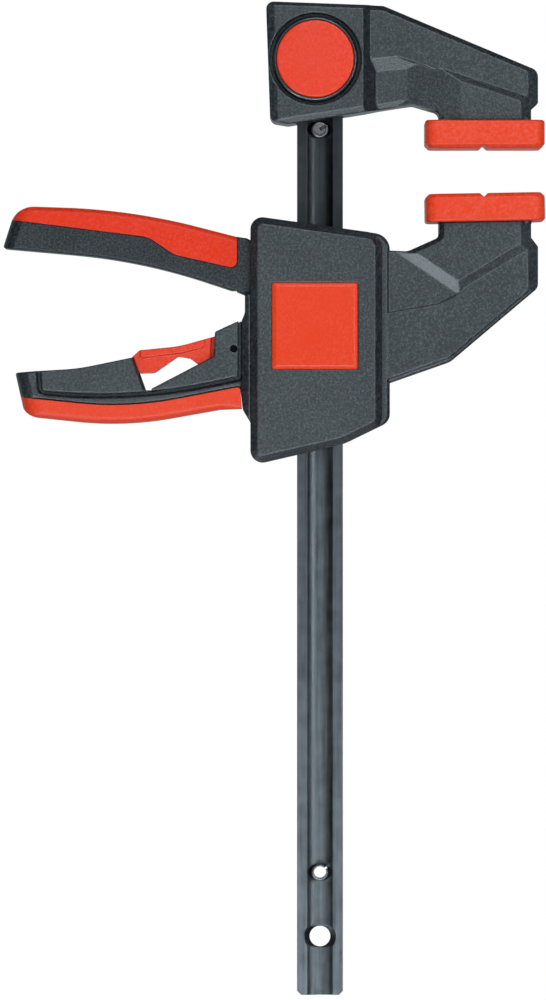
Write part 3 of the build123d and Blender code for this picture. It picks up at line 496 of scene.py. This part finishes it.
def rounded_piece(node, finish, width, segments=STEEL_SEGMENTS, crease=COMMON_CREASE):
    """Edge-rounded stand-in for one solid, with its finish."""
    piece = round_edges(merged_copy(node, node + "_finished"), width, segments, crease)
    dress(piece, finish, NODES[node]["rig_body"], SLOTS[node], node)


# ------------------------------------------------------ geometry node helpers
COIL_STEPS = 32
WIRE_SIDES = 12
HEAD_SIDES = 40
SHANK_SIDES = 24
HEAD_HEIGHT = 2.0 * MM
# Radius of a screw head's top against its foot.
HEAD_TAPER = 0.88


class Tree(Graph):
    """Geometry node tree with named inputs for its sizes."""

    def __init__(self, name, inputs):
        super().__init__(bpy.data.node_groups.new(name, "GeometryNodeTree"))
        self.keys = {}
        for label, kind, default in inputs:
            socket = self.tree.interface.new_socket(name=label, in_out="INPUT", socket_type=kind)
            if default is not None:
                socket.default_value = default
            self.keys[label] = socket.identifier
        self.tree.interface.new_socket(name="Geometry", in_out="OUTPUT", socket_type="NodeSocketGeometry")
        self.given = self.tree.nodes.new("NodeGroupInput").outputs

    def moved(self, geometry, place=(0, 0, 0), turn=(0, 0, 0)):
        node = self.add("GeometryNodeTransform", Geometry=geometry, Translation=place, Rotation=turn)
        return node.outputs[0]

    def joined(self, *parts):
        node = self.add("GeometryNodeJoinGeometry")
        for part in parts:
            self.tree.links.new(part, node.inputs[0])
        return node.outputs[0]

    def along_z(self, distance):
        return self.add("ShaderNodeCombineXYZ", Z=distance).outputs[0]

    def finish(self, geometry, finish):
        real = self.add("GeometryNodeRealizeInstances", Geometry=geometry)
        painted = self.add("GeometryNodeSetMaterial", Geometry=real.outputs[0], Material=FINISHES[finish])
        self.feed(self.tree.nodes.new("NodeGroupOutput"), "Geometry", painted.outputs[0])
        return self

    def grow(self, name, base=None, **values):
        """Object whose mesh this tree makes, turned into a plain mesh."""
        piece = new_object(name, base or bpy.data.meshes.new(name))
        modifier = piece.modifiers.new(name, "NODES")
        modifier.node_group = self.tree
        for label, value in values.items():
            modifier[self.keys[label.replace("_", " ")]] = value
        return bake_modifiers(piece)


def coil_spring_tree(finish):
    """Helix of round wire, with even turns."""
    tree = Tree(
        "Coil Spring",
        [
            ("Outer Radius", "NodeSocketFloat", 5.0 * MM),
            ("Wire Radius", "NodeSocketFloat", 0.5 * MM),
            ("Turns", "NodeSocketFloat", 4.0),
            ("Height", "NodeSocketFloat", 10.0 * MM),
        ],
    )
    given = tree.given
    radius = tree.maths("SUBTRACT", given["Outer Radius"], given["Wire Radius"])
    rise = tree.maths("SUBTRACT", given["Height"], tree.maths("MULTIPLY", given["Wire Radius"], 2.0))
    spiral = tree.add(
        "GeometryNodeCurveSpiral",
        Resolution=COIL_STEPS,
        Rotations=given["Turns"],
        Start_Radius=radius,
        End_Radius=radius,
        Height=rise,
    )
    wire = tree.add("GeometryNodeCurvePrimitiveCircle", Resolution=WIRE_SIDES, Radius=given["Wire Radius"])
    coil = tree.add(
        "GeometryNodeCurveToMesh", Curve=spiral.outputs[0], Profile_Curve=wire.outputs[0], Fill_Caps=True
    )
    smooth = tree.add("GeometryNodeSetShadeSmooth", Geometry=coil.outputs[0])
    return tree.finish(smooth.outputs[0], finish)


def cross_screw_tree(finish):
    """Pan head screws with a cross recess, one at each point, heads towards +Y."""
    tree = Tree(
        "Cross Screws",
        [
            ("Points", "NodeSocketGeometry", None),
            ("Head Radius", "NodeSocketFloat", 2.8 * MM),
            ("Head Height", "NodeSocketFloat", HEAD_HEIGHT),
            ("Shank Radius", "NodeSocketFloat", 1.5 * MM),
            ("Shank Length", "NodeSocketFloat", 25.3 * MM),
            ("Recess Size", "NodeSocketVector", (3.2 * MM, 0.8 * MM, 1.6 * MM)),
            ("Recess Place", "NodeSocketVector", (0.0, 0.0, 2.2 * MM)),
        ],
    )
    given = tree.given
    head = tree.add(
        "GeometryNodeMeshCone",
        Vertices=HEAD_SIDES,
        Radius_Top=tree.maths("MULTIPLY", given["Head Radius"], HEAD_TAPER),
        Radius_Bottom=given["Head Radius"],
        Depth=given["Head Height"],
    )
    arm = tree.add("GeometryNodeMeshCube", Size=given["Recess Size"]).outputs[0]
    arms = [tree.moved(arm, given["Recess Place"], (0, 0, turn)) for turn in (0.0, math.pi / 2)]
    cut = tree.add("GeometryNodeMeshBoolean")
    cut.operation = "DIFFERENCE"
    tree.feed(cut, "Mesh 1", head.outputs["Mesh"])
    tree.feed(cut, "Mesh 2", tree.joined(*arms))
    shank = tree.add(
        "GeometryNodeMeshCylinder",
        Vertices=SHANK_SIDES,
        Radius=given["Shank Radius"],
        Depth=given["Shank Length"],
    )
    half_down = tree.along_z(tree.maths("MULTIPLY", given["Shank Length"], -0.5))
    screw = tree.joined(cut.outputs[0], tree.moved(shank.outputs["Mesh"], half_down))
    level = tree.moved(screw, turn=(-math.pi / 2, 0, 0))
    placed = tree.add("GeometryNodeInstanceOnPoints", Points=given["Points"], Instance=level)
    return tree.finish(placed.outputs[0], finish)


def plate_stack_tree(finish):
    """Equal flat plates, stacked downwards from the highest one."""
    tree = Tree(
        "Plate Stack",
        [
            ("Plate", "NodeSocketGeometry", None),
            ("Count", "NodeSocketInt", 2),
            ("Pitch", "NodeSocketFloat", 2.45 * MM),
        ],
    )
    given = tree.given
    drop = tree.along_z(tree.maths("MULTIPLY", given["Pitch"], -1.0))
    line = tree.add("GeometryNodeMeshLine", Count=given["Count"], Offset=drop)
    placed = tree.add("GeometryNodeInstanceOnPoints", Points=line.outputs[0], Instance=given["Plate"])
    return tree.finish(placed.outputs[0], finish)


# ------------------------------------------------------------------ operators
class ClampStep:
    """What every step of making the clamp shares"""

    bl_options = {"REGISTER", "UNDO"}


class CLAMP_OT_finishes(ClampStep, bpy.types.Operator):
    """Make the moulded and drawn finishes"""

    bl_idname = "clamp.finishes"
    bl_label = "Finishes"

    def execute(self, context):
        make_finishes(context.scene.clamp_finish)
        return {"FINISHED"}


class CLAMP_OT_bar(ClampStep, bpy.types.Operator):
    """Burnish the bar and its stop pins"""

    bl_idname = "clamp.bar"
    bl_label = "Bar and stop pins"

    def execute(self, context):
        sizes = context.scene.clamp_sizes
        rounded_piece("bar", "Burnished Bar", sizes.steel_edge, crease=CURVED_CREASE)
        for node in ("top_stop_pin", "bottom_stop_pin"):
            rounded_piece(node, "Dull Steel", sizes.stop_pin_edge, crease=PIN_CREASE)
        fill_slit_shade()
        return {"FINISHED"}


SLIT_SHADE_SIZE = (2.6 * MM, 6.4 * MM, 0.88 * MM)
SLIT_SHADE_OFFSET = (1.3 * MM, 0.0, 0.0)
SLIT_SHADE_EDGE = 0.15 * MM
# Way in which the slit of the rolled pin points, about Y.
SLIT_TURN = math.radians(-35.0)


def fill_slit_shade():
    """Grey plug in the slit of the upper stop pin: painted shade that stands for the shadow seen through
    the slit.
    """
    low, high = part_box("top_stop_pin")
    shape = bmesh.new()
    bmesh.ops.create_cube(shape, size=1.0)
    bmesh.ops.scale(shape, verts=shape.verts, vec=SLIT_SHADE_SIZE)
    bmesh.ops.translate(shape, verts=shape.verts, vec=SLIT_SHADE_OFFSET)
    bmesh.ops.rotate(shape, verts=shape.verts, cent=(0, 0, 0), matrix=Matrix.Rotation(SLIT_TURN, 3, "Y"))
    bmesh.ops.translate(shape, verts=shape.verts, vec=(low + high) / 2)
    bmesh.ops.bevel(
        shape, geom=shape.edges[:], offset=SLIT_SHADE_EDGE, segments=STEEL_SEGMENTS, affect="EDGES"
    )
    mesh = bpy.data.meshes.new("stop_pin_slit_shade")
    shape.to_mesh(mesh)
    shape.free()
    plug = new_object("stop_pin_slit_shade", mesh)
    dress(plug, "Painted Slit Shade", NODES["top_stop_pin"]["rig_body"], "bar_steel")


class CLAMP_OT_fixed_jaw(ClampStep, bpy.types.Operator):
    """Mould the fixed jaw and its latch lid"""

    bl_idname = "clamp.fixed_jaw"
    bl_label = "Fixed jaw"

    def execute(self, context):
        sizes = context.scene.clamp_sizes
        nylon = "Glass Filled Nylon"
        rounded_piece("fixed_jaw", nylon, sizes.casting_edge, sizes.edge_segments, CASTING_CREASE)
        rounded_piece("latch_lid", nylon, sizes.steel_edge)
        return {"FINISHED"}


class CLAMP_OT_pads(ClampStep, bpy.types.Operator):
    """Mould the two jaw pads"""

    bl_idname = "clamp.pads"
    bl_label = "Jaw pads"

    def execute(self, context):
        sizes = context.scene.clamp_sizes
        for node in ("fixed_jaw_pad", "moving_jaw_pad"):
            rounded_piece(node, "Pad Red", sizes.pad_edge, sizes.edge_segments)
        return {"FINISHED"}


class CLAMP_OT_jaw_button(ClampStep, bpy.types.Operator):
    """Mould the jaw's release button, its collar and the latch behind it"""

    bl_idname = "clamp.jaw_button"
    bl_label = "Jaw release button"

    def execute(self, context):
        sizes = context.scene.clamp_sizes
        rounded_piece("release_button", "Button Red", sizes.button_edge, sizes.edge_segments, CURVED_CREASE)
        rounded_piece("button_collar", "Collar Nylon", sizes.trim_edge, MOULDING_SEGMENTS, CURVED_CREASE)
        rounded_piece("latch_yoke", "Bright Steel", sizes.steel_edge)
        return {"FINISHED"}


class CLAMP_OT_carriage(ClampStep, bpy.types.Operator):
    """Mould the carriage housing with its arm and handle, and the front cover"""

    bl_idname = "clamp.carriage"
    bl_label = "Carriage"

    def execute(self, context):
        sizes = context.scene.clamp_sizes
        for node, crease in (("carriage_housing", CASTING_CREASE), ("front_cover", COVER_CREASE)):
            rounded_piece(node, "Glass Filled Nylon", sizes.casting_edge, sizes.edge_segments, crease)
        return {"FINISHED"}


class CLAMP_OT_badge(ClampStep, bpy.types.Operator):
    """Set the plain coloured plate into the cover"""

    bl_idname = "clamp.badge"
    bl_label = "Plain badge plate"

    def execute(self, context):
        sizes = context.scene.clamp_sizes
        rounded_piece("badge_plate", "Badge Red", sizes.trim_edge, MOULDING_SEGMENTS)
        return {"FINISHED"}


class CLAMP_OT_handle(ClampStep, bpy.types.Operator):
    """Mould the fixed handle's cheeks, grip and trigger"""

    bl_idname = "clamp.handle"
    bl_label = "Fixed handle"

    def execute(self, context):
        sizes = context.scene.clamp_sizes
        rounded_piece("handle_insert", "Glass Filled Nylon", sizes.cheek_edge, MOULDING_SEGMENTS)
        rounded_piece("handle_grip", "Handle Grip Red", sizes.grip_edge, sizes.edge_segments)
        rounded_piece("release_trigger", "Button Red", sizes.trigger_edge, MOULDING_SEGMENTS)
        return {"FINISHED"}


class CLAMP_OT_lever(ClampStep, bpy.types.Operator):
    """Mould the drive lever and its grip"""

    bl_idname = "clamp.lever"
    bl_label = "Drive lever"

    def execute(self, context):
        sizes = context.scene.clamp_sizes
        rounded_piece("drive_lever", "Lever Nylon", sizes.cheek_edge, MOULDING_SEGMENTS)
        rounded_piece("lever_grip", "Lever Grip Red", sizes.grip_edge, sizes.edge_segments)
        return {"FINISHED"}


class CLAMP_OT_pins(ClampStep, bpy.types.Operator):
    """Turn the pivot pins and stamp the brake plate"""

    bl_idname = "clamp.pins"
    bl_label = "Pins and brake plate"

    def execute(self, context):
        sizes = context.scene.clamp_sizes
        pins = {
            "lever_pivot_pin": "Bright Steel",
            # The trigger pin's end is painted shade, near-black for the shade in its bore.
            "trigger_pin": "Painted Bore Shade",
            "drive_pin": "Bright Steel",
        }
        for node, finish in pins.items():
            rounded_piece(node, finish, sizes.steel_edge, crease=PIN_CREASE)
        rounded_piece("brake_plate", "Bright Steel", sizes.steel_edge)
        return {"FINISHED"}


PLATE_THICKNESS = 2.4 * MM
CUT_MARGIN = 0.01 * MM


class CLAMP_OT_drive_plates(ClampStep, bpy.types.Operator):
    """Stack the two plates that grip the bar"""

    bl_idname = "clamp.drive_plates"
    bl_label = "Drive plates"

    def execute(self, context):
        low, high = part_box("drive_plates")
        top = merged_copy("drive_plates", "top_plate")
        shape = bmesh.new()
        shape.from_mesh(top.data)
        underside = high.z - PLATE_THICKNESS - CUT_MARGIN
        bmesh.ops.delete(shape, geom=[v for v in shape.verts if v.co.z < underside], context="VERTS")
        shape.to_mesh(top.data)
        shape.free()
        round_edges(top, context.scene.clamp_sizes.steel_edge, STEEL_SEGMENTS, COMMON_CREASE)
        pitch = (high.z - low.z) - PLATE_THICKNESS
        stack = plate_stack_tree("Bright Steel").grow("drive_plate_stack", top.data, Count=2, Pitch=pitch)
        bpy.data.objects.remove(top)
        dress(stack, "Bright Steel", "drive_plate_pair", "bright_steel", "drive_plates")
        return {"FINISHED"}


# Each spring: the radius of its wire, its turns, the axis along which it works, the joint that squashes it,
# the end that stays, the share of its length that is kept, and the body on which it rides.
SPRINGS = (
    ("drive_spring", 0.75 * MM, 3.5, Z_AXIS, "plate_drive", "low", 0.59, "carriage"),
    ("brake_spring", 0.45 * MM, 5.0, Z_AXIS, "brake_tilt", "low", 0.86, "carriage"),
    ("button_spring", 0.45 * MM, 5.0, Y_AXIS, "button_press", "high", 0.60, "bar_and_fixed_jaw"),
)


class CLAMP_OT_springs(ClampStep, bpy.types.Operator):
    """Wind the three compression springs"""

    bl_idname = "clamp.springs"
    bl_label = "Springs"

    def execute(self, context):
        tree = coil_spring_tree("Spring Steel")
        for node, wire_radius, turns, axis, joint, still_end, keep, body in SPRINGS:
            low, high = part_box(node)
            spring = tree.grow(
                node + "_wound",
                Outer_Radius=(high.x - low.x) / 2,
                Wire_Radius=wire_radius,
                Turns=turns,
                Height=high[axis] - low[axis],
            )
            stand_spring(spring, low, high, axis, wire_radius)
            dress(spring, "Spring Steel", body, "spring_steel", node)
            anchor = list((low + high) / 2)
            anchor[axis] = low[axis] if still_end == "low" else high[axis]
            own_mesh(spring)
        return {"FINISHED"}


def stand_spring(spring, low, high, axis, wire_radius):
    """Moves a spring wound from the origin up Z into its box: up Z, or from the back along -Y."""
    middle = (low + high) / 2
    for vertex in spring.data.vertices:
        x, y, z = vertex.co
        z += wire_radius
        if axis == Z_AXIS:
            vertex.co = (middle.x + x, middle.y + y, low.z + z)
        else:
            vertex.co = (middle.x + x, high.y - z, middle.z + y)


# X and Z of the cover screws, in millimetres.
SCREW_PLACES = ((-17.9, 230.6), (16.6, 208.0), (-18.2, 160.6), (16.9, 171.8))


class CLAMP_OT_screws(ClampStep, bpy.types.Operator):
    """Drive the four screws that hold the cover"""

    bl_idname = "clamp.screws"
    bl_label = "Cover screws"

    def execute(self, context):
        low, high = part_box("cover_screws")
        neck = high.y - HEAD_HEIGHT
        points = bpy.data.meshes.new("screw_places")
        points.from_pydata([(x * MM, neck, z * MM) for x, z in SCREW_PLACES], [], [])
        tree = cross_screw_tree("Bright Steel")
        screws = tree.grow("cover_screw_set", points, Shank_Length=neck - low.y)
        dress(screws, "Bright Steel", "carriage", "bright_steel", "cover_screws")
        return {"FINISHED"}


# --------------------------------------------------------------------- studio
CAMERA_AIM = Vector((-15.4 * MM, 0.0, 143.0 * MM))
SENSOR_SIZE = 36.0
CLIP_END = 20.0

FLOOR_SIDE, FLOOR_FRONT, FLOOR_BACK = 3.0, -3.0, 2.0
FLOOR_TONES = ((0.84, 0.84, 0.84, 1.0), (0.88, 0.88, 0.87, 1.0))

LAMP_AIM = Vector((0.0, 0.0, 0.20))
PLAIN_LIGHT = (1.0, 1.0, 1.0)
GLOSS_TINT = (0.88, 1.0, 1.06)
# Soft fills, which matt faces take: name, direction from the clamp, distance, two sides, radiance.
FILLS = (
    ("Front fill", (0.25, -1.0, 0.35), 1.6, (1.4, 1.4), 2.35),
    ("Left fill", (-1.0, -0.5, 0.2), 1.6, (1.0, 1.0), 0.8),
    ("Right fill", (1.0, -0.5, 0.0), 1.6, (1.0, 1.0), 0.55),
    ("Back fill", (-0.3, 1.0, 0.45), 1.6, (1.4, 1.4), 2.2),
    ("Low fill", (0.0, -0.9, -0.5), 1.2, (0.7, 0.7), 1.0),
)
# Panels and narrow strips, which only gloss shows, in the same terms.
STRIPS = (
    ("Floor glow", (0.10, 0.24, -0.97), 0.62, (0.8, 0.6), 0.85),
    ("Low strip", (-0.49, -0.49, -0.72), 0.85, (0.30, 0.24), 27.0),
    ("Ridge strip", (0.06, -0.82, -0.57), 1.0, (0.45, 0.07), 84.0),
    ("High strip", (0.12, -0.72, 0.69), 1.0, (0.45, 0.10), 42.0),
    ("Right strip", (0.66, -0.75, 0.0), 1.0, (0.09, 0.50), 26.0),
)

FRONT_WAY = (0.08, -1.0, 0.0)
# Brightness of the surroundings by the cosine to the front: two cosines, and the brightness at each.
FRONT_PANEL = (0.70, 0.84, 0.05, 1.42)
REAR_PANEL = (-0.45, -0.7, 0.0, 0.6)
PANEL_TINT = (0.85, 1.0, 1.05, 1.0)
STUDIO_WHITE = (1.0, 1.0, 1.0, 1.0)


class CLAMP_OT_studio(ClampStep, bpy.types.Operator):
    """Set up the camera, the pale floor and the soft lights"""

    bl_idname = "clamp.studio"
    bl_label = "Studio"

    def execute(self, context):
        stage = context.scene.clamp_stage
        place_camera(stage)
        lay_floor(stage)
        for lamp in FILLS:
            hang_lamp(*lamp, gloss=False)
        for lamp in STRIPS:
            hang_lamp(*lamp, gloss=True)
        surround()
        return {"FINISHED"}


def place_camera(stage):
    data = bpy.data.cameras.new("Studio camera")
    data.lens = stage.lens
    data.sensor_width = SENSOR_SIZE
    data.clip_end = CLIP_END
    camera = new_object("Studio camera", data)
    distance = stage.view_height * stage.lens / SENSOR_SIZE
    camera.location = CAMERA_AIM + Vector((0.0, -distance, 0.0))
    camera.rotation_euler = Euler((math.pi / 2, 0.0, 0.0))
    bpy.context.scene.camera = camera


def lay_floor(stage):
    """Pale paper floor, which gloss doesn't show."""
    low = SOLID_BOX[0][2] - stage.floor_drop
    mesh = bpy.data.meshes.new("Studio floor")
    left, right = -FLOOR_SIDE, FLOOR_SIDE
    corners = ((left, FLOOR_FRONT), (right, FLOOR_FRONT), (right, FLOOR_BACK), (left, FLOOR_BACK))
    mesh.from_pydata([(x, y, low) for x, y in corners], [], [(0, 1, 2, 3)])
    floor = new_object("Studio floor", mesh)
    paper = bpy.data.materials.new("Floor paper")
    paper.use_nodes = True
    graph = Graph(paper.node_tree)
    principled = graph.find("BSDF_PRINCIPLED")
    place = graph.add("ShaderNodeTexCoord").outputs["Object"]
    mottle = graph.noise(place, scale=3.0, detail=3.0)
    graph.feed(principled, "Base Color", graph.mix("RGBA", mottle, *FLOOR_TONES))
    graph.feed(principled, "Roughness", 0.9)
    mesh.materials.append(paper)
    floor.visible_glossy = False


def hang_lamp(name, way, reach, sides, radiance, gloss):
    """Area light that shows only in gloss, or else only on matt faces."""
    data = bpy.data.lights.new(name, "AREA")
    data.shape = "RECTANGLE"
    data.size, data.size_y = sides
    data.energy = radiance * math.pi * sides[0] * sides[1]
    data.color = GLOSS_TINT if gloss else PLAIN_LIGHT
    lamp = new_object(name, data)
    lamp.location = LAMP_AIM + Vector(way).normalized() * reach
    lamp.rotation_euler = (LAMP_AIM - lamp.location).to_track_quat("-Z", "Y").to_euler()
    lamp.visible_camera = False
    lamp.visible_diffuse = not gloss
    lamp.visible_glossy = gloss


def surround():
    """White studio seen by the camera; a bright panel in front, dark sides, light behind."""
    world = bpy.data.worlds.new("Studio world")
    bpy.context.scene.world = world
    world.use_nodes = True
    graph = Graph(world.node_tree)
    background = graph.find("BACKGROUND")
    way = graph.add("ShaderNodeTexCoord").outputs["Generated"]
    facing = graph.vector_maths("DOT_PRODUCT", way, tuple(Vector(FRONT_WAY).normalized()))
    panels = graph.maths("ADD", graph.ramp(facing, *FRONT_PANEL), graph.ramp(facing, *REAR_PANEL))
    seen = graph.add("ShaderNodeLightPath").outputs["Is Camera Ray"]
    graph.feed(background, "Color", graph.mix("RGBA", seen, PANEL_TINT, STUDIO_WHITE))
    graph.feed(background, "Strength", graph.mix("FLOAT", seen, panels, 1.0))
    bpy.context.scene.view_settings.view_transform = "Standard"


# --------------------------------------------------------------------- add-on
STEPS = (
    CLAMP_OT_finishes,
    CLAMP_OT_bar,
    CLAMP_OT_fixed_jaw,
    CLAMP_OT_pads,
    CLAMP_OT_jaw_button,
    CLAMP_OT_carriage,
    CLAMP_OT_badge,
    CLAMP_OT_handle,
    CLAMP_OT_lever,
    CLAMP_OT_pins,
    CLAMP_OT_drive_plates,
    CLAMP_OT_springs,
    CLAMP_OT_screws,
    CLAMP_OT_studio,
)


class CLAMP_PT_workshop(bpy.types.Panel):
    """Lists the steps that make the clamp, and its sizes and colours"""

    bl_label = "Bar Clamp"
    bl_idname = "CLAMP_PT_workshop"
    bl_space_type = "VIEW_3D"
    bl_region_type = "UI"
    bl_category = "Bar Clamp"

    def draw(self, context):
        column = self.layout.column(align=True)
        for step in STEPS:
            column.operator(step.bl_idname)
        for group in (context.scene.clamp_sizes, context.scene.clamp_finish, context.scene.clamp_stage):
            for key in group.bl_rna.properties.keys():
                if key not in ("rna_type", "name"):
                    column.prop(group, key)


CLASSES = (ClampFinishSettings, ClampSizeSettings, ClampStageSettings, *STEPS, CLAMP_PT_workshop)


def register():
    for item in CLASSES:
        bpy.utils.register_class(item)
    bpy.types.Scene.clamp_finish = PointerProperty(type=ClampFinishSettings)
    bpy.types.Scene.clamp_sizes = PointerProperty(type=ClampSizeSettings)
    bpy.types.Scene.clamp_stage = PointerProperty(type=ClampStageSettings)


def unregister():
    del bpy.types.Scene.clamp_stage
    del bpy.types.Scene.clamp_sizes
    del bpy.types.Scene.clamp_finish
    for item in reversed(CLASSES):
        bpy.utils.unregister_class(item)


def main():
    register()
    for step in STEPS:
        getattr(bpy.ops.clamp, step.bl_idname.removeprefix("clamp."))()


if __name__ == "__main__":
    main()
